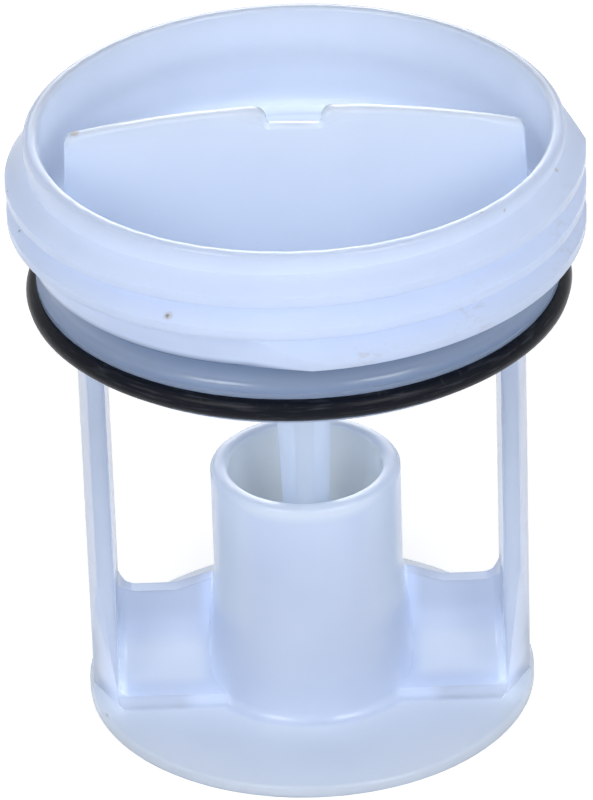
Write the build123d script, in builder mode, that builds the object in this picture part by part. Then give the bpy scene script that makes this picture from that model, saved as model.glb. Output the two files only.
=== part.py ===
from build123d import *
from math import acos, degrees, sqrt
import os

# Washing machine pump filter. Millimetres, +Z up, origin at the middle of the base's underside,
# legs at +X and -X, grip plate in the XZ plane.

# Base disc
base_r = 30.0
base_t = 1.6
base_edge = 0.4

# Legs: segments of a drum that stands just inside the disc's rim
leg_inset = 0.5
leg_t = 3.7
leg_half_w = 9.0
leg_edge_r = 0.4
cage_h = 56.5
foot_cut_h = 17.0
foot_cut_w = 1.8
foot_cut_d = 6.5

# Ledge and scooped web between the legs
ledge_h = 1.5
blend_sink = 0.03
web_t = 2.0
web_h = 11.7
web_corner_r = 2.7
web_rise_h = 1.7
web_rise_run = 5.25
scoop_corner = 1.1

# Open tube in the middle, with its flared foot
tube_h = 33.4
tube_r = 12.65
tube_waist_h = 14.9
tube_foot_r = 14.45
tube_wall = 2.45
tube_edge = 0.45

# Cross-shaped rod that hangs from the cap into the tube
rod_top_w = 8.4
rod_top_arm_t = 2.9
rod_tip_w = 5.0
rod_tip_arm_t = 1.9
rod_tip_z = 10.0

# Rubber ring of round cord, drawn with a few flats and pressed flat where it sits in the groove
seal_cord_d = 3.0
seal_cord_sides = 12
seal_squeeze = 0.1
groove_play = 0.1

# Lower end of the cap: lip, seal groove, flange and neck
lip_h = 1.9
lip_r = 33.3
lip_bevel_h = 1.0
lip_bevel_w = 1.8
groove_r = 32.75
flange_r = 34.25
flange_t = 0.7
neck_r = 33.0
neck_h = 4.05

# Threaded ring and the cup inside it
ring_r = 35.0
ring_h = 16.15
ring_bevel = 0.6
rim_wall = 1.85
rim_edge = 0.4
cup_wall = 2.45
cup_floor_t = 2.6
step_rise = 0.2
step_h = 1.45

# Buttress thread: steep flank below, upright land at the crest, long flank above
thread_lead = 4.6
thread_turns = 2.378
thread_start_h = 0.84
thread_start_deg = -112.0
thread_depth = 2.6
thread_land = 1.24
thread_under_h = 0.6
thread_gap = 0.7
thread_tuck = 0.1
thread_fade = 0.64

# Grip plate across the cup
grip_t = 2.2
grip_foot_half_w = 30.7
grip_top_half_w = 29.65
grip_corner_drop = 0.45
grip_crown_h = 2.7
grip_corner_r = 1.5
grip_edge = 0.45
notch_w = 7.1
notch_floor_h = 0.3
notch_shoulder_r = 1.6
notch_floor_r = 0.5

# Depth by which features run into each other, so that they join as one moulding
embed = 0.9

# Heights and radii that follow from the sizes above
ledge_z = base_t + ledge_h
web_z = ledge_z + web_h
scoop_r = leg_half_w - web_t / 2
leg_r = base_r - leg_inset
leg_x = leg_r - leg_t
leg_corner_x = sqrt(leg_r**2 - leg_half_w**2) - leg_edge_r
foot_side_y = leg_half_w - foot_cut_d
foot_front = Vector(leg_corner_x - foot_cut_w, leg_half_w, base_t)
foot_side = Vector(sqrt(leg_r**2 - foot_side_y**2), foot_side_y, base_t)
foot_tip = Vector(leg_corner_x, leg_half_w, base_t + foot_cut_h)
blend_r = ledge_h + blend_sink
blend_mid = blend_r * (1 - sqrt(0.5))
bore_r = tube_r - tube_wall
tube_waist_z = ledge_z + tube_waist_h
cap_z = base_t + cage_h
floor_z = cap_z + cup_floor_t
groove_z = cap_z + lip_h
groove_w = seal_cord_d + groove_play
flange_z = groove_z + groove_w
neck_z = flange_z + flange_t
neck_sweep = flange_r - neck_r
neck_sweep_mid = neck_sweep * (1 - sqrt(0.5))
ring_z = neck_z + neck_h
rim_z = ring_z + ring_h
cup_low_r = groove_r - cup_wall
cup_rim_r = ring_r - rim_wall
step_z = ring_z + step_rise
seal_r = groove_r + seal_cord_d / 2 - seal_squeeze
seal_z = groove_z + groove_w / 2
thread_z = ring_z + thread_start_h
thread_h = thread_lead * thread_turns
thread_top_h = thread_lead - thread_under_h - thread_gap
thread_end_deg = 360 * thread_turns
root_low_h = thread_under_h * (1 + thread_tuck / thread_depth)
root_top_h = thread_top_h + (thread_top_h - thread_land) * thread_tuck / thread_depth
flat_r = ring_r - thread_fade
flat_h = thread_lead * degrees(acos(flat_r / (ring_r + thread_depth))) / 360
grip_corner_z = rim_z - grip_corner_drop
notch_z = rim_z + notch_floor_h

# Thread: one tooth swept along a right-hand helix. Its flanks run on to just below the ring's surface
with BuildPart() as thread:
    with BuildLine() as thread_path:
        Helix(thread_lead, thread_h, ring_r, center=(0, 0, thread_z))
    with BuildSketch(Plane(thread_path.line @ 0, (1, 0, 0), -(thread_path.line % 0))):
        with BuildLine():
            Polyline(
                (-embed, -root_low_h),
                (-thread_tuck, -root_low_h),
                (thread_depth, 0),
                (thread_depth, thread_land),
                (-thread_tuck, root_top_h),
                (-embed, root_top_h),
                close=True,
            )
        make_face()
    sweep(path=thread_path.line, is_frenet=True)
    # Each end fades out on a flat that lies just inside the ring's surface
    with BuildSketch(Plane.XY.offset(thread_z - thread_lead)):
        with Locations((flat_r, 0)):
            Rectangle(2 * thread_depth, 2 * ring_r, align=(Align.MIN, Align.CENTER))
    extrude(amount=thread_lead + thread_top_h + (thread_gap + flat_h) / 2, mode=Mode.SUBTRACT)
    with BuildSketch(Plane.XY.offset(thread_z + thread_h + thread_lead)):
        with Locations(Location((0, 0), thread_end_deg)):
            with Locations((flat_r, 0)):
                Rectangle(2 * thread_depth, 2 * ring_r, align=(Align.MIN, Align.CENTER))
    extrude(amount=-thread_lead - thread_under_h - (thread_gap + flat_h) / 2, mode=Mode.SUBTRACT)

# Grip plate: a bowed top edge with a finger notch, all its free edges bevelled
with BuildPart() as grip:
    with BuildSketch(Plane.XZ) as grip_face:
        with BuildLine():
            Polyline(
                (-grip_top_half_w, grip_corner_z),
                (-grip_foot_half_w, floor_z - embed),
                (grip_foot_half_w, floor_z - embed),
                (grip_top_half_w, grip_corner_z),
            )
            ThreePointArc(
                (grip_top_half_w, grip_corner_z),
                (0, rim_z + grip_crown_h),
                (-grip_top_half_w, grip_corner_z),
            )
        make_face()
        with Locations((0, notch_z)):
            Rectangle(notch_w, grip_crown_h, align=(Align.CENTER, Align.MIN), mode=Mode.SUBTRACT)
        fillet(grip_face.vertices().sort_by(SortBy.DISTANCE)[-2:], grip_corner_r)
        notch_shoulders = grip_face.vertices().filter_by_position(Axis.X, -notch_w, notch_w)
        fillet(notch_shoulders.sort_by(Axis.Y)[-2:], notch_shoulder_r)
        notch_corners = grip_face.vertices().filter_by_position(Axis.X, -notch_w, notch_w)
        fillet(notch_corners.sort_by(Axis.Y)[:2], notch_floor_r)
    extrude(amount=grip_t / 2, both=True)
    grip_rims = grip.faces().filter_by(Axis.Y).edges()
    chamfer(grip_rims.filter_by(lambda edge: edge.center().Z > step_z), grip_edge)

# Ledge and web: the scooped section runs from leg to leg, and the side outline trims its top
with BuildPart() as web:
    with BuildSketch(Plane.YZ):
        with BuildLine():
            Polyline(
                (0, base_t / 2),
                (leg_half_w + blend_r, base_t / 2),
                (leg_half_w + blend_r, ledge_z - blend_r),
                (leg_half_w + blend_mid, ledge_z - blend_r + blend_mid),
                (leg_half_w, ledge_z),
            )
            RadiusArc((leg_half_w, ledge_z), (web_t / 2, ledge_z + scoop_r), scoop_r)
            Polyline(
                (web_t / 2, ledge_z + scoop_r),
                (web_t / 2, web_z + scoop_r),
                (0, web_z + scoop_r),
                (0, base_t / 2),
            )
        make_face()
        mirror(about=Plane.YZ)
    extrude(amount=leg_corner_x, both=True)
    with BuildSketch(Plane.XZ):
        with BuildLine():
            Polyline(
                (0, 0),
                (leg_r, 0),
                (leg_r, web_z + web_corner_r),
                (leg_x, web_z + web_corner_r),
            )
            RadiusArc((leg_x, web_z + web_corner_r), (leg_x - web_corner_r, web_z), web_corner_r)
            Polyline(
                (leg_x - web_corner_r, web_z),
                (tube_r + web_rise_run, web_z),
                (tube_r, web_z + web_rise_h),
                (0, web_z + web_rise_h),
                (0, 0),
            )
        make_face()
        mirror(about=Plane.YZ)
    extrude(amount=2 * leg_half_w, both=True, mode=Mode.INTERSECT)

# Slanting cut on the legs' outer corners, from nothing at its tip to its full width at the base
with BuildPart() as foot_cut:
    foot_slope = foot_tip - foot_front
    foot_line = foot_side - foot_front
    with BuildSketch(Plane(foot_front, foot_line, foot_slope.cross(foot_line))):
        Rectangle(4 * foot_cut_d, 4 * foot_cut_h)
    extrude(amount=2 * leg_t)
    split(bisect_by=Plane.XY.offset(base_t))
    mirror(about=Plane.XZ)
    mirror(about=Plane.YZ)

# The one-piece moulding
with BuildPart() as filter_body:
    # Base disc with a softened top edge
    with BuildSketch():
        Circle(base_r)
    extrude(amount=base_t)
    chamfer(filter_body.edges().group_by(Axis.Z)[-1], base_edge)

    # Two legs, cut from one drum
    with BuildSketch(Plane.XY.offset(base_t / 2)) as leg_section:
        Rectangle(2 * leg_r, 2 * leg_half_w)
        Circle(leg_r, mode=Mode.INTERSECT)
        Rectangle(2 * leg_x, 2 * leg_half_w, mode=Mode.SUBTRACT)
        fillet(leg_section.vertices(), leg_edge_r)
    extrude(amount=cap_z + embed - base_t / 2)

    # The web's inner corners with the legs are bevelled
    add(web.part)
    scoop_ends = filter_body.edges().filter_by(GeomType.CIRCLE).filter_by(
        lambda edge: abs(edge.radius - scoop_r) < 0.01 and abs(abs(edge.center().X) - leg_x) < 0.01
    )
    chamfer(scoop_ends, scoop_corner)
    add(foot_cut.part, mode=Mode.SUBTRACT)

    # Tube with a flared foot and a bevelled mouth
    with BuildSketch(Plane.XZ) as tube_section:
        with BuildLine():
            Polyline(
                (tube_foot_r, ledge_z),
                (tube_r, tube_waist_z),
                (tube_r, tube_h - tube_edge),
                (tube_r - tube_edge, tube_h),
                (0, tube_h),
                (0, base_t / 2),
                (tube_foot_r + blend_r, base_t / 2),
                (tube_foot_r + blend_r, ledge_z - blend_r),
                (tube_foot_r + blend_mid, ledge_z - blend_r + blend_mid),
                close=True,
            )
        make_face()
    revolve(axis=Axis.Z)
    with BuildSketch(Plane.XZ):
        Polygon(
            (0, 0),
            (bore_r, 0),
            (bore_r, tube_h - tube_edge),
            (bore_r + tube_edge, tube_h),
            (0, tube_h),
            align=None,
        )
    revolve(axis=Axis.Z, mode=Mode.SUBTRACT)

    # Cap: cup, threaded ring, neck, flange, seal groove and lip in one turned section
    with BuildSketch(Plane.XZ) as cap_section:
        with BuildLine():
            Polyline(
                (0, cap_z),
                (lip_r - lip_bevel_w, cap_z),
                (lip_r, cap_z + lip_bevel_h),
                (lip_r, groove_z),
                (groove_r, groove_z),
                (groove_r, flange_z),
                (flange_r, flange_z),
                (flange_r, neck_z),
                (neck_r + neck_sweep_mid, neck_z + neck_sweep_mid),
                (neck_r, neck_z + neck_sweep),
                (neck_r, ring_z),
                (ring_r - ring_bevel, ring_z),
                (ring_r, ring_z + ring_bevel),
                (ring_r, rim_z),
                (cup_rim_r, rim_z),
                (cup_rim_r, step_z + step_h),
                (cup_low_r, step_z),
                (cup_low_r, floor_z),
                (0, floor_z),
                close=True,
            )
        make_face()
        chamfer(cap_section.vertices().sort_by(Axis.Y)[-2:], rim_edge)
    revolve(axis=Axis.Z)

    add(thread.part, rotation=(0, 0, thread_start_deg))
    add(grip.part)

    # Rod: a cross that tapers from the cap to its tip inside the tube
    with BuildSketch(Plane.XY.offset(cap_z + embed)):
        Rectangle(rod_top_w, rod_top_arm_t)
        Rectangle(rod_top_arm_t, rod_top_w)
    with BuildSketch(Plane.XY.offset(rod_tip_z)):
        Rectangle(rod_tip_w, rod_tip_arm_t)
        Rectangle(rod_tip_arm_t, rod_tip_w)
    loft()

# Seal: the cord's section, flattened on the groove's floor
with BuildPart() as seal_ring:
    with BuildSketch(Plane.XZ):
        with Locations((seal_r, seal_z)):
            RegularPolygon(seal_cord_d / 2, seal_cord_sides)
        with Locations((groove_r, seal_z)):
            Rectangle(seal_cord_d, 2 * seal_cord_d, align=(Align.MAX, Align.CENTER), mode=Mode.SUBTRACT)
    revolve(axis=Axis.Z)

filter_body.part.label = "filter_body"
seal_ring.part.label = "seal_ring"

os.makedirs("parts", exist_ok=True)
export_step(filter_body.part, "parts/filter_body.step")
export_step(seal_ring.part, "parts/seal_ring.step")
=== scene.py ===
import functools
import math

import bpy
from bpy.props import FloatProperty, FloatVectorProperty, PointerProperty
from mathutils import Matrix, Vector


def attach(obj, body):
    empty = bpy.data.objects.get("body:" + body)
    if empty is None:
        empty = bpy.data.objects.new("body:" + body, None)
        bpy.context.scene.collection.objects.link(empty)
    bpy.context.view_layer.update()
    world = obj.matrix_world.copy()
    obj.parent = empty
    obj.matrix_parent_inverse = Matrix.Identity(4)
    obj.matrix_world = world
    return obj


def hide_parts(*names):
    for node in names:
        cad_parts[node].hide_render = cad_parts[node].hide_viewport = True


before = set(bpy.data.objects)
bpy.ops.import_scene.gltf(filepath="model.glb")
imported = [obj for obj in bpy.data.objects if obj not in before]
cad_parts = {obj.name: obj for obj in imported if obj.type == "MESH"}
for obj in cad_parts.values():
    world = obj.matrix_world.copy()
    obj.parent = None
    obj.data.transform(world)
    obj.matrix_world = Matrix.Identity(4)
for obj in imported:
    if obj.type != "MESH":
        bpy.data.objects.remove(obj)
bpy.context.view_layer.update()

bl_info = {
    "name": "Pump filter dresser",
    "version": (1, 0, 0),
    "blender": (4, 5, 0),
    "location": "View3D > Sidebar > Pump filter",
    "description": "Dresses a screw-in pump filter: white moulding, black seal ring and a pale stage",
    "category": "Object",
}

MM = 0.001

# Dirt on the plastic: place and radius in millimetres
BROWN_SPECKS = (
    (-28.3, 0.0, 83.8, 0.9),
    (-16.6, -32.9, 75.1, 0.75),
    (33.2, -11.4, 82.3, 0.45),
    (26.1, -23.3, 83.2, 0.35),
    (23.1, -25.1, 84.0, 0.3),
)
DARK_SPECKS = (
    (-16.7, -32.9, 75.1, 0.35),
    (-35.7, -8.6, 74.5, 0.35),
    (-37.1, -5.0, 78.5, 0.25),
    (-25.8, 4.6, 36.5, 0.35),
    (28.7, -6.7, 29.0, 0.3),
    (33.2, -11.5, 82.1, 0.2),
)
# Rubbed patches on the thread: place and radius in millimetres
SCUFFS = (
    (34.2, -14.0, 75.0, 9.0),
    (8.3, -36.0, 70.5, 5.0),
    (22.0, -29.5, 72.5, 6.0),
)

# Zones of the moulding whose colour carries painted light or painted shade. Each has its share, then its
# limits in millimetres:
# what is measured, where the zone begins and where it is full. The radius is from the axis, side and
# depth are from the middle either way, back is towards the back and height is from the floor
# Painted light: these zones take a paler colour that stands in for light reaching in and shining through
# the thin walls of the bore, mouth, tube sides, rod, grip plate, cup, disc and lower scoop
PAINTED_LIGHT_ZONES = {
    "bore": (0.95, ("radius", 7.6, 8.6), ("radius", 11.0, 10.4), ("height", 34.0, 32.8)),
    "mouth": (0.45, ("radius", 7.6, 8.6), ("radius", 13.4, 13.0),
              ("height", 31.0, 33.0), ("height", 34.6, 34.2)),
    "tube sides": (0.5, ("radius", 7.6, 8.6), ("radius", 13.4, 13.0), ("side", 6.0, 12.0),
                   ("height", 10.0, 18.0), ("height", 34.6, 34.2)),
    "rod": (0.5, ("radius", 7.5, 6.5), ("height", 58.5, 57.0)),
    "grip plate": (0.42, ("depth", 1.5, 1.2), ("radius", 32.0, 31.0), ("height", 60.5, 61.5)),
    "cup": (0.25, ("radius", 33.9, 33.4), ("height", 60.5, 61.5)),
    "disc": (0.45, ("height", 1.9, 1.5)),
    "scoop": (0.35, ("side", 13.0, 15.5), ("side", 26.4, 25.6),
              ("height", 3.2, 4.0), ("height", 9.5, 6.0)),
}
# Painted shade: these zones take a darker colour that stands in for shade on the legs, on the web under
# the cap, under the ledge's edge, on the thread and on the back rim
PAINTED_SHADE_ZONES = {
    "leg": (0.2, ("side", 25.2, 26.0), ("height", 2.0, 9.0), ("height", 59.0, 56.0)),
    "web": (0.55, ("side", 13.0, 15.5), ("side", 26.4, 25.6),
            ("height", 6.0, 13.0), ("height", 19.5, 17.5)),
    "ledge": (0.45, ("side", 15.0, 18.0), ("depth", 8.7, 9.0),
              ("height", 1.6, 1.9), ("height", 3.6, 3.0)),
    "thread": (0.18, ("radius", 34.0, 35.0), ("height", 68.5, 69.5)),
    "back rim": (0.35, ("radius", 33.0, 33.8), ("height", 82.5, 83.5), ("back", -5.0, 12.0)),
}
# Painted shade in the neck groove under the thread, with a painted shadow that deepens towards the top,
# under the thread's overhang
NECK_PAINTED_SHADE_ZONE = (1.0, ("radius", 31.5, 32.0), ("height", 62.8, 63.2), ("height", 69.2, 68.0))
NECK_PAINTED_SHADE_LOW_SHARE = 0.75
NECK_PAINTED_SHADOW_DEEPENS = (63.5, 67.5)

# Scales of the noise, in waves a metre
CLOUD_SCALE = 80.0
GRAIN_SCALE = 3500.0
SPECK_EDGE_SCALE = 4000.0
SCUFF_SCALE = (500.0, 500.0, 1300.0)
RUB_SCALE = (220.0, 220.0, 3000.0)
DUST_SCALE = 900.0
RUBBER_GRAIN_SCALE = 2500.0

# How strongly each mark shows in the colour, and what it adds to the roughness
BROWN_SHARE = 0.6
SCUFF_SHARE = 0.3
DARK_SHARE = 0.7
RUB_SHARE = 0.45
DUST_SHARE = 0.25
CLOUD_ROUGHNESS = 0.06
DARK_ROUGHNESS = 0.2
RUB_ROUGHNESS = 0.12
DUST_ROUGHNESS = 0.1

# Meshes and stage
WELD = 0.002 * MM
MOULDING_SMOOTH = math.radians(50.0)
SEAL_SMOOTH = math.radians(40.0)
FLOOR_SIZE = 6.0
FLOOR_DROP = 0.05 * MM


# Shader wiring

class Flow:
    """A number that runs between shader nodes; arithmetic on it adds Math nodes."""

    def __init__(self, board, socket):
        self.board = board
        self.socket = socket

    def math(self, operation, first, second=0.0):
        return self.board.node("ShaderNodeMath", {"operation": operation}, {0: first, 1: second})

    def __add__(self, other):
        return self.math("ADD", self, other)

    def __radd__(self, other):
        return self.math("ADD", other, self)

    def __sub__(self, other):
        return self.math("SUBTRACT", self, other)

    def __mul__(self, other):
        return self.math("MULTIPLY", self, other)

    def __rmul__(self, other):
        return self.math("MULTIPLY", other, self)

    def __truediv__(self, other):
        return self.math("DIVIDE", self, other)

    def ramp(self, low, high):
        """0 at low, 1 at high, smooth in between; low may be the larger one."""
        settings = {"interpolation_type": "SMOOTHSTEP"}
        inputs = {"Value": self, "From Min": low, "From Max": high}
        return self.board.node("ShaderNodeMapRange", settings, inputs)

    def at_least(self, other):
        return self.math("MAXIMUM", self, other)

    def root(self):
        return self.math("SQRT", self)

    def size(self):
        return self.math("ABSOLUTE", self)


def largest(flows):
    return functools.reduce(Flow.at_least, flows)


class Board:
    """One material's nodes."""

    def __init__(self, tree):
        self.tree = tree
        self.tree.nodes.clear()

    def node(self, kind, settings=None, inputs=None, output=0):
        """Adds a node, sets it up, links or fills its sockets and gives one output as a Flow."""
        made = self.tree.nodes.new(kind)
        for name, value in (settings or {}).items():
            setattr(made, name, value)
        for name, value in (inputs or {}).items():
            socket = made.inputs[name]
            if isinstance(value, Flow):
                self.tree.links.new(value.socket, socket)
            elif socket.type == "RGBA":
                socket.default_value = (*value, 1.0)
            else:
                socket.default_value = value
        return Flow(self, made.outputs[output]) if made.outputs else None

    def place(self):
        return self.node("ShaderNodeTexCoord", output="Object")

    def stretch(self, place, scale):
        return self.node("ShaderNodeMapping", None, {"Vector": place, "Scale": scale})

    def noise(self, place, scale, detail=2.0, roughness=0.5):
        inputs = {"Vector": place, "Scale": scale, "Detail": detail, "Roughness": roughness}
        return self.node("ShaderNodeTexNoise", None, inputs)

    def split(self, place, axis):
        return self.node("ShaderNodeSeparateXYZ", None, {"Vector": place}, output=axis)

    def distance(self, place, point):
        settings = {"operation": "DISTANCE"}
        return self.node("ShaderNodeVectorMath", settings, {0: place, 1: point}, output="Value")

    def mix(self, share, first, second):
        """Blend of two colours, each a colour or a Flow."""
        inputs = {0: share, 6: first, 7: second}
        return self.node("ShaderNodeMix", {"data_type": "RGBA"}, inputs, output=2)

    def specks(self, place, spots):
        """1 inside any of the spots, each a place and a radius in millimetres, 0 outside."""
        ragged = self.noise(place, SPECK_EDGE_SCALE, 1.0) + 0.5
        return largest([
            (self.distance(place, (x * MM, y * MM, z * MM)) * ragged).ramp(radius * MM, 0.3 * radius * MM)
            for x, y, z, radius in spots
        ])

    def scuffs(self, place, spots):
        """Torn marks that fade out from the middle of each spot."""
        torn = self.noise(self.stretch(place, SCUFF_SCALE), 1.0, 3.0, 0.65).ramp(0.48, 0.72)
        return torn * largest([
            self.distance(place, (x * MM, y * MM, z * MM)).ramp(radius * MM, 0.0)
            for x, y, z, radius in spots
        ])

    def bump(self, height):
        """Tilted normals from a height in metres."""
        return self.node("ShaderNodeBump", None, {"Height": height, "Distance": 1.0, "Strength": 1.0})

    def seen_directly(self):
        """1 for rays that show a surface as a background: to the camera, in gloss and through glass."""
        kinds = ("Is Camera Ray", "Is Glossy Ray", "Is Transmission Ray")
        return largest([self.node("ShaderNodeLightPath", output=kind) for kind in kinds])

    def finish(self, shader, kind="ShaderNodeOutputMaterial"):
        self.node(kind, None, {"Surface": shader})


def new_material(name):
    material = bpy.data.materials.new(name)
    material.use_nodes = True
    return material, Board(material.node_tree)


def zone_share(measures, zone):
    """The zone's share inside it, 0 outside, smooth at its limits."""
    share, *limits = zone
    for measure, begins, full in limits:
        share = share * measures[measure].ramp(begins, full)
    return share


def wall_tint_with_painted_light(board, place, mottle, look):
    """Colour of clean plastic, with painted light on the thin walls and painted shade on the legs, web,
    ledge, thread, back rim and neck.
    """
    x, y, z = (board.split(place, axis) / MM for axis in "XYZ")
    radius = (x * x + y * y).root()
    measures = {"radius": radius, "side": x.size(), "depth": y.size(), "back": y, "height": z}
    # Painted light on the thin walls
    pale = largest([zone_share(measures, zone) for zone in PAINTED_LIGHT_ZONES.values()])
    # Painted shade on the legs, web, ledge, thread and back rim
    shade = largest([zone_share(measures, zone) for zone in PAINTED_SHADE_ZONES.values()])
    # Painted shade in the neck, with a painted shadow deepening towards the top
    neck = zone_share(measures, NECK_PAINTED_SHADE_ZONE)
    neck = neck * (NECK_PAINTED_SHADE_LOW_SHARE + (1.0 - NECK_PAINTED_SHADE_LOW_SHARE) * z.ramp(*NECK_PAINTED_SHADOW_DEEPENS))
    colour = board.mix(mottle, look.tint, look.tint_deep)
    colour = board.mix(pale, colour, look.painted_light_tint)
    colour = board.mix(shade, colour, look.painted_shade_tint)
    return board.mix(neck, colour, look.neck_painted_shade_tint)


def white_plastic(look):
    """Satin bluish-white polypropylene: faint clouds, fine grain, rubbed patches and specks, with painted
    light and shade in its colour.
    """
    material, board = new_material("white_plastic")
    place = board.place()
    clouds = board.noise(place, CLOUD_SCALE)
    dark = board.specks(place, DARK_SPECKS)
    scuffs = board.scuffs(place, SCUFFS)
    colour = wall_tint_with_painted_light(board, place, clouds.ramp(0.3, 0.7), look)
    colour = board.mix(board.specks(place, BROWN_SPECKS) * BROWN_SHARE, colour, look.brown_dirt)
    colour = board.mix(scuffs * SCUFF_SHARE, colour, look.brown_dirt)
    colour = board.mix(dark * DARK_SHARE, colour, look.dark_dirt)
    roughness = look.roughness + (clouds - 0.5) * CLOUD_ROUGHNESS + dark * DARK_ROUGHNESS
    grain = board.noise(place, GRAIN_SCALE, 1.0)
    relief = clouds * look.wave_depth + grain * look.grain_depth
    shader = board.node("ShaderNodeBsdfPrincipled", {"subsurface_method": "BURLEY"}, {
        "Base Color": colour,
        "Roughness": roughness,
        "Normal": board.bump(relief),
        "IOR": 1.49,
        "Subsurface Weight": look.glow,
        "Subsurface Radius": (1.0, 1.0, 1.0),
        "Subsurface Scale": look.glow_depth,
    })
    board.finish(shader)
    return material


def black_rubber(look):
    """Smooth blue-black rubber with a dull sheen and rubbed streaks that run along the ring."""
    material, board = new_material("black_rubber")
    place = board.place()
    rubbed = board.noise(board.stretch(place, RUB_SCALE), 1.0).ramp(0.5, 0.75)
    dust = board.noise(place, DUST_SCALE).ramp(0.6, 0.8)
    colour = board.mix(rubbed * RUB_SHARE + dust * DUST_SHARE, look.tint, look.dust)
    roughness = look.roughness + rubbed * RUB_ROUGHNESS + dust * DUST_ROUGHNESS
    relief = board.noise(place, RUBBER_GRAIN_SCALE, 1.0) * look.grain_depth
    shader = board.node("ShaderNodeBsdfPrincipled", None, {
        "Base Color": colour,
        "Roughness": roughness,
        "Normal": board.bump(relief),
        "IOR": 1.5,
        "Specular IOR Level": 0.1,
    })
    board.finish(shader)
    return material


# Settings that a user would change

class PlasticLook(bpy.types.PropertyGroup):
    """Finish of the white moulding, with tints for its painted light and painted shade."""
    tint: FloatVectorProperty(
        name="Tint", description="Main colour of the moulding", subtype="COLOR",
        size=3, min=0.0, max=1.0, default=(0.60, 0.70, 0.905))
    tint_deep: FloatVectorProperty(
        name="Deep tint", description="Colour of the faint clouds", subtype="COLOR",
        size=3, min=0.0, max=1.0, default=(0.57, 0.67, 0.885))
    # Painted light: mixed into the bore, rod, tube, plate, cup, disc and lower scoop
    painted_light_tint: FloatVectorProperty(
        name="Pale tint", description="Colour mixed into the thin walls, which light shines through",
        subtype="COLOR", size=3, min=0.0, max=1.0, default=(0.86, 0.94, 1.0))
    # Painted shade: mixed into the legs, web, ledge, thread and back rim
    painted_shade_tint: FloatVectorProperty(
        name="Shade tint", description="Colour mixed into the thick or shaded walls",
        subtype="COLOR", size=3, min=0.0, max=1.0, default=(0.38, 0.425, 0.51))
    # Painted shade of the neck groove under the thread
    neck_painted_shade_tint: FloatVectorProperty(
        name="Neck tint", description="Colour of the neck, where the black ring shows through",
        subtype="COLOR", size=3, min=0.0, max=1.0, default=(0.135, 0.205, 0.34))
    brown_dirt: FloatVectorProperty(
        name="Brown dirt", description="Colour of the rusty specks", subtype="COLOR",
        size=3, min=0.0, max=1.0, default=(0.42, 0.34, 0.27))
    dark_dirt: FloatVectorProperty(
        name="Dark dirt", description="Colour of the dark specks", subtype="COLOR",
        size=3, min=0.0, max=1.0, default=(0.06, 0.07, 0.10))
    roughness: FloatProperty(
        name="Roughness", description="Base roughness of the skin", subtype="FACTOR",
        min=0.0, max=1.0, default=0.22)
    grain_depth: FloatProperty(
        name="Grain depth", description="Depth of the mould's fine grain", unit="LENGTH",
        subtype="DISTANCE", min=0.0, precision=6, default=0.000003)
    wave_depth: FloatProperty(
        name="Wave depth", description="Depth of the skin's slow waves", unit="LENGTH",
        subtype="DISTANCE", min=0.0, precision=6, default=0.00006)
    glow: FloatProperty(
        name="Glow", description="Share of light that scatters inside the wall", subtype="FACTOR",
        min=0.0, max=1.0, default=1.0)
    glow_depth: FloatProperty(
        name="Glow depth", description="How far light scatters inside the wall", unit="LENGTH",
        subtype="DISTANCE", min=0.0, precision=5, default=0.008)


class RubberLook(bpy.types.PropertyGroup):
    """Finish of the seal ring."""
    tint: FloatVectorProperty(
        name="Tint", description="Colour of the rubber", subtype="COLOR",
        size=3, min=0.0, max=1.0, default=(0.006, 0.008, 0.014))
    dust: FloatVectorProperty(
        name="Dust", description="Colour of the dust on the rubber", subtype="COLOR",
        size=3, min=0.0, max=1.0, default=(0.06, 0.065, 0.08))
    roughness: FloatProperty(
        name="Roughness", description="Base roughness of the rubber", subtype="FACTOR",
        min=0.0, max=1.0, default=0.3)
    grain_depth: FloatProperty(
        name="Grain depth", description="Depth of the rubber's grain", unit="LENGTH",
        subtype="DISTANCE", min=0.0, precision=6, default=0.00001)


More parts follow.
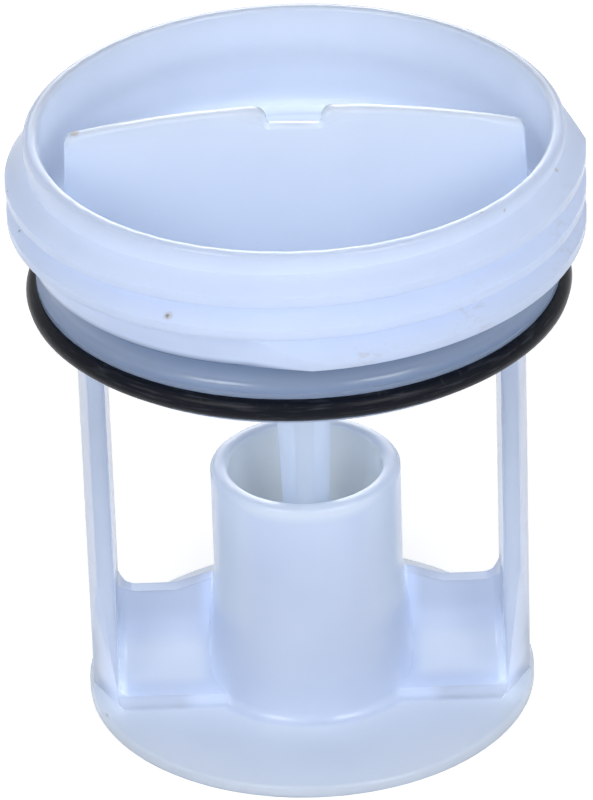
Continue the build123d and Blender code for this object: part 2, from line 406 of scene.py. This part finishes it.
class StageLook(bpy.types.PropertyGroup):
    """Camera, floor and lights."""
    aim: FloatVectorProperty(
        name="Aim", description="Point that the camera looks at", subtype="TRANSLATION",
        unit="LENGTH", size=3, default=(-0.868 * MM, 0.0, 43.0 * MM))
    distance: FloatProperty(
        name="Distance", description="From the aim point to the camera", unit="LENGTH",
        subtype="DISTANCE", min=0.01, default=865.3 * MM)
    elevation: FloatProperty(
        name="Elevation", description="Camera's height as an angle above the floor",
        subtype="ANGLE", default=math.radians(30.283))
    roll: FloatProperty(
        name="Roll", description="Turn of the camera about its own axis",
        subtype="ANGLE", default=math.radians(-1.95))
    lens: FloatProperty(
        name="Lens", description="Focal length in millimetres on a 36 mm sensor", min=1.0,
        default=295.08)
    floor_tint: FloatVectorProperty(
        name="Floor tint", description="Colour of the floor", subtype="COLOR",
        size=3, min=0.0, max=1.0, default=(0.8, 0.8, 0.8))
    floor_lift: FloatProperty(
        name="Floor lift", description="Light added to the floor where it is seen directly",
        min=0.0, default=0.56)
    sky: FloatProperty(
        name="Sky", description="Strength of the even light from all round", min=0.0, default=0.41)
    box_power: FloatProperty(
        name="Box power", description="Power of each soft box", unit="POWER", min=0.0, default=1.95)
    box_size: FloatProperty(
        name="Box size", description="Side of each soft box", unit="LENGTH",
        subtype="DISTANCE", min=0.01, default=0.3)
    box_distance: FloatProperty(
        name="Box distance", description="From the aim point to each soft box", unit="LENGTH",
        subtype="DISTANCE", min=0.1, default=0.8)
    box_elevation: FloatProperty(
        name="Box elevation", description="Height of the soft boxes as an angle above the floor",
        subtype="ANGLE", default=math.radians(36.0))
    box_spread: FloatProperty(
        name="Box spread", description="How far each soft box stands to the side of the camera",
        subtype="ANGLE", default=math.radians(38.0))
    back_power: FloatProperty(
        name="Back power", description="Power of the soft box behind the filter", unit="POWER",
        min=0.0, default=1.0)
    back_elevation: FloatProperty(
        name="Back elevation", description="Height of the back box as an angle above the floor",
        subtype="ANGLE", default=math.radians(18.0))


# Pieces

def deselect():
    if bpy.context.object and bpy.context.object.mode != "OBJECT":
        bpy.ops.object.mode_set(mode="OBJECT")
    bpy.ops.object.select_all(action="DESELECT")


def make_active(piece):
    deselect()
    piece.select_set(True)
    bpy.context.view_layer.objects.active = piece


def welded_copy(node, name):
    """A copy of a CAD node with its loose triangles merged, so that it can be shaded smooth."""
    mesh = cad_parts[node].data.copy()
    mesh.name = name
    mesh.materials.clear()
    piece = bpy.data.objects.new(name, mesh)
    bpy.context.scene.collection.objects.link(piece)
    make_active(piece)
    bpy.ops.object.mode_set(mode="EDIT")
    bpy.ops.mesh.select_all(action="SELECT")
    bpy.ops.mesh.customdata_custom_splitnormals_clear()
    bpy.ops.mesh.remove_doubles(threshold=WELD)
    bpy.ops.object.mode_set(mode="OBJECT")
    return piece


def smooth(piece, angle):
    make_active(piece)
    bpy.ops.object.shade_smooth_by_angle(angle=angle)
    weighted = piece.modifiers.new("Even normals", "WEIGHTED_NORMAL")
    weighted.keep_sharp = True
    weighted.weight = 60
    bpy.ops.object.modifier_apply(modifier=weighted.name)


class OBJECT_OT_filter_moulding(bpy.types.Operator):
    """Dress the one-piece moulding: smooth skin and white plastic"""
    bl_idname = "object.filter_moulding"
    bl_label = "White moulding"

    def execute(self, context):
        piece = welded_copy("filter_body", "moulding")
        smooth(piece, MOULDING_SMOOTH)
        piece.data.materials.append(white_plastic(context.scene.filter_plastic))
        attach(piece, "root")
        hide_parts("filter_body")
        return {"FINISHED"}


class OBJECT_OT_filter_seal(bpy.types.Operator):
    """Dress the seal ring in black rubber"""
    bl_idname = "object.filter_seal"
    bl_label = "Seal ring"

    def execute(self, context):
        piece = welded_copy("seal_ring", "seal")
        smooth(piece, SEAL_SMOOTH)
        piece.data.materials.append(black_rubber(context.scene.filter_rubber))
        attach(piece, "root")
        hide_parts("seal_ring")
        return {"FINISHED"}


def soft_box(name, stage, azimuth, elevation, power):
    """A square lamp that faces the aim point; azimuth 0 is on the camera's side."""
    data = bpy.data.lights.new(name, "AREA")
    data.size = stage.box_size
    data.energy = power
    lamp = bpy.data.objects.new(name, data)
    level = math.cos(elevation)
    away = Vector((math.sin(azimuth) * level, -math.cos(azimuth) * level, math.sin(elevation)))
    lamp.location = Vector(stage.aim) + away * stage.box_distance
    lamp.rotation_euler = away.to_track_quat("Z", "Y").to_euler()
    bpy.context.scene.collection.objects.link(lamp)


class OBJECT_OT_filter_stage(bpy.types.Operator):
    """Set the pale floor, the soft lights and the camera"""
    bl_idname = "object.filter_stage"
    bl_label = "Stage"

    def execute(self, context):
        stage = context.scene.filter_stage
        self.add_floor(stage)
        self.add_sky(context.scene, stage)
        self.add_lights(stage)
        self.add_camera(context.scene, stage)
        context.scene.view_settings.view_transform = "Standard"
        return {"FINISHED"}

    def add_floor(self, stage):
        deselect()
        bpy.ops.mesh.primitive_plane_add(size=FLOOR_SIZE, location=(0.0, 0.0, -FLOOR_DROP))
        floor = bpy.context.object
        floor.name = "floor"
        material, board = new_material("floor_paper")
        shader = board.node("ShaderNodeBsdfPrincipled", None, {
            "Base Color": stage.floor_tint,
            "Roughness": 0.9,
            "Emission Color": board.seen_directly(),
            "Emission Strength": stage.floor_lift,
        })
        board.finish(shader)
        floor.data.materials.append(material)

    def add_sky(self, scene, stage):
        world = bpy.data.worlds.new("studio")
        world.use_nodes = True
        board = Board(world.node_tree)
        dim = board.node("ShaderNodeBackground", None, {"Strength": stage.sky})
        white = board.node("ShaderNodeBackground", None, {"Strength": 1.0})
        for_rays = {0: board.seen_directly(), 1: dim, 2: white}
        board.finish(board.node("ShaderNodeMixShader", None, for_rays), "ShaderNodeOutputWorld")
        scene.world = world

    def add_lights(self, stage):
        soft_box("left_box", stage, -stage.box_spread, stage.box_elevation, stage.box_power)
        soft_box("right_box", stage, stage.box_spread, stage.box_elevation, stage.box_power)
        soft_box("back_box", stage, math.pi, stage.back_elevation, stage.back_power)

    def add_camera(self, scene, stage):
        data = bpy.data.cameras.new("photo_view")
        data.lens = stage.lens
        data.sensor_width = 36.0
        data.clip_start = 0.05
        data.clip_end = 20.0
        camera = bpy.data.objects.new("photo_view", data)
        back = Vector((0.0, -math.cos(stage.elevation), math.sin(stage.elevation)))
        tilt = Matrix.Rotation(math.pi / 2 - stage.elevation, 4, "X")
        turn = Matrix.Rotation(stage.roll, 4, "Z")
        place = Matrix.Translation(Vector(stage.aim) + back * stage.distance)
        camera.matrix_world = place @ tilt @ turn
        scene.collection.objects.link(camera)
        scene.camera = camera


class VIEW3D_PT_filter(bpy.types.Panel):
    """Lists the filter's pieces and the stage"""
    bl_idname = "VIEW3D_PT_filter"
    bl_label = "Pump filter"
    bl_space_type = "VIEW_3D"
    bl_region_type = "UI"
    bl_category = "Pump filter"

    def draw(self, context):
        for step in STEPS:
            self.layout.operator(step.bl_idname)


STEPS = (OBJECT_OT_filter_moulding, OBJECT_OT_filter_seal, OBJECT_OT_filter_stage)
CLASSES = (PlasticLook, RubberLook, StageLook, *STEPS, VIEW3D_PT_filter)


def register():
    for each in CLASSES:
        bpy.utils.register_class(each)
    bpy.types.Scene.filter_plastic = PointerProperty(type=PlasticLook)
    bpy.types.Scene.filter_rubber = PointerProperty(type=RubberLook)
    bpy.types.Scene.filter_stage = PointerProperty(type=StageLook)


def unregister():
    del bpy.types.Scene.filter_stage
    del bpy.types.Scene.filter_rubber
    del bpy.types.Scene.filter_plastic
    for each in reversed(CLASSES):
        bpy.utils.unregister_class(each)


def main():
    register()
    bpy.ops.object.filter_moulding()
    bpy.ops.object.filter_seal()
    bpy.ops.object.filter_stage()


if __name__ == "__main__":
    main()
